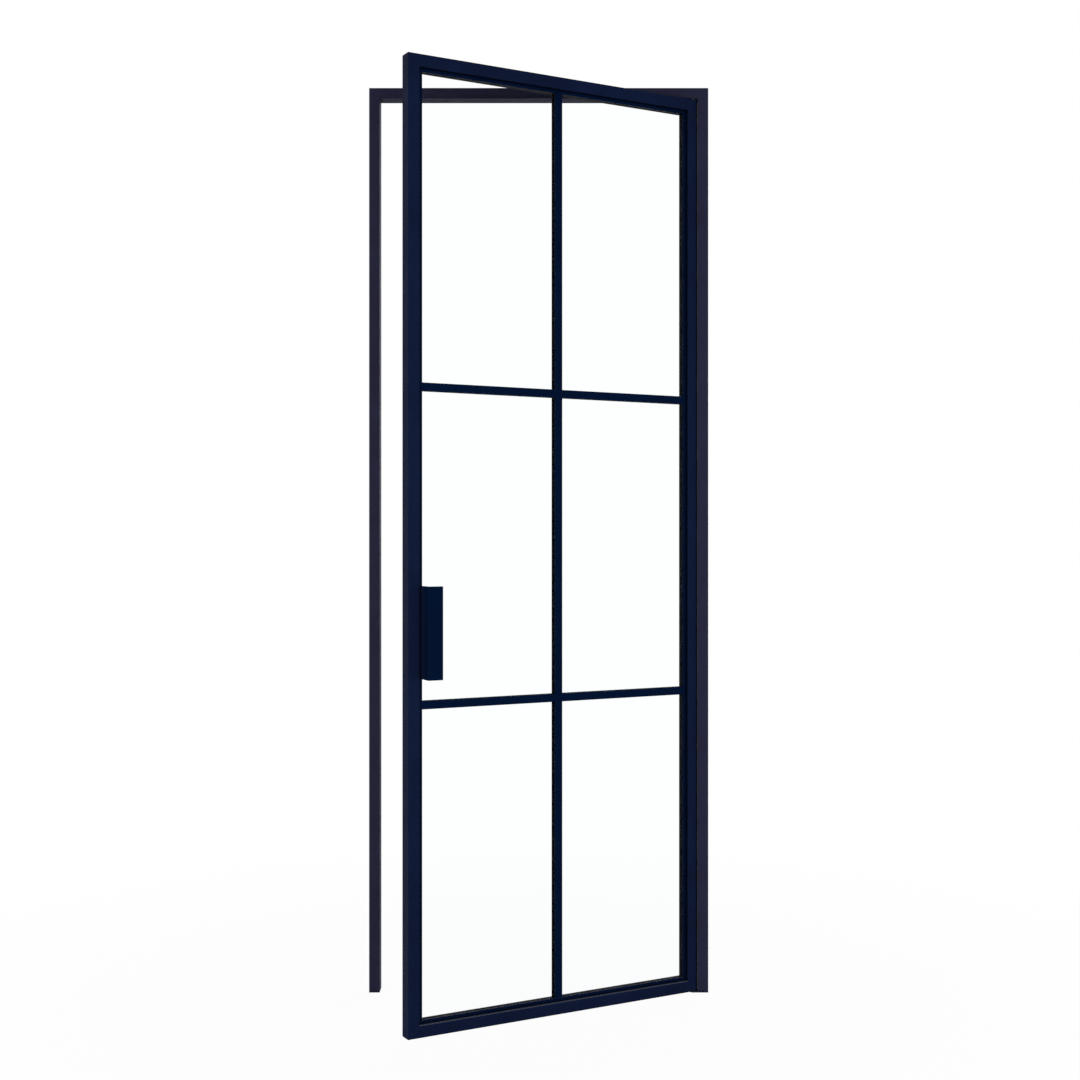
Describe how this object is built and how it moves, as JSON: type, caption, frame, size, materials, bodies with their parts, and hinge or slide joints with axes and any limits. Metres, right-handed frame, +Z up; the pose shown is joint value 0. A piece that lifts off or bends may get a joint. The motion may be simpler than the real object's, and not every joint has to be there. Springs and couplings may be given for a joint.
{
  "type": "steel interior door with frame",
  "caption": "Dark steel interior door standing open in its slim steel frame: glazed leaf with narrow stiles, glazing bars and an upright angle pull, turning on hidden floor and head pivots.",
  "frame": {"origin": "on the finished floor, half way across the doorway, in the plane of the frame's front", "axes": "+Z up, +X towards the hinge side, -Y towards the side that the leaf opens to"},
  "size_m": [0.9, 0.4718, 2.4],
  "materials": {
    "dark_paint": "fine satin powder coat",
    "steel_screw": "zinc plated",
    "cast_alloy": "as cast",
    "clear_glass": "clear toughened",
    "black_rubber": "matt",
    "foam_tape": "matt",
    "black_plastic": "matt",
    "bush_plastic": "matt"
  },
  "bodies": {
    "frame": {"hinge_jamb": "dark_paint", "latch_jamb": "dark_paint", "frame_head": "dark_paint", "hinge_foot_plate": "dark_paint", "latch_foot_plate": "dark_paint", "hinge_corner_cleat": "cast_alloy", "latch_corner_cleat": "cast_alloy", "bottom_pivot_pin": "steel_screw", "top_pivot_screw": "steel_screw", "stop_bracket": "dark_paint", "stop_screw": "steel_screw", "catch_magnet": "black_plastic", "stop_buffer": "black_rubber"},
    "leaf": {"latch_stile": "dark_paint", "hinge_stile": "dark_paint", "bottom_rail": "dark_paint", "top_rail": "dark_paint", "glass_pane": "clear_glass", "front_gasket": "black_rubber", "rear_gasket": "black_rubber", "setting_blocks": "black_plastic", "edge_blocks": "black_plastic", "pull_screws": "steel_screw", "bottom_pivot_block": "cast_alloy", "top_pivot_block": "cast_alloy", "bottom_bush": "bush_plastic", "top_bush": "bush_plastic", "front_stop_latch": "dark_paint", "front_stop_hinge": "dark_paint", "front_stop_bottom": "dark_paint", "front_stop_top": "dark_paint", "rear_bead_latch": "dark_paint", "rear_bead_hinge": "dark_paint", "rear_bead_bottom": "dark_paint", "rear_bead_top": "dark_paint", "front_vertical_bar": "dark_paint", "front_lower_bar": "dark_paint", "front_upper_bar": "dark_paint", "front_bar_tape": "foam_tape", "front_pull_base": "dark_paint", "front_pull_grip": "dark_paint", "rear_vertical_bar": "dark_paint", "rear_lower_bar": "dark_paint", "rear_upper_bar": "dark_paint", "rear_bar_tape": "foam_tape", "rear_pull_base": "dark_paint", "rear_pull_grip": "dark_paint"}
  },
  "joints": [
    {"name": "leaf_swing", "type": "hinge", "parent": "frame", "child": "leaf", "pos_m": [0.4095, 0.009, 0], "axis": [0, 0, 1], "range_deg": [-28.8, 76.2]}
  ]
}
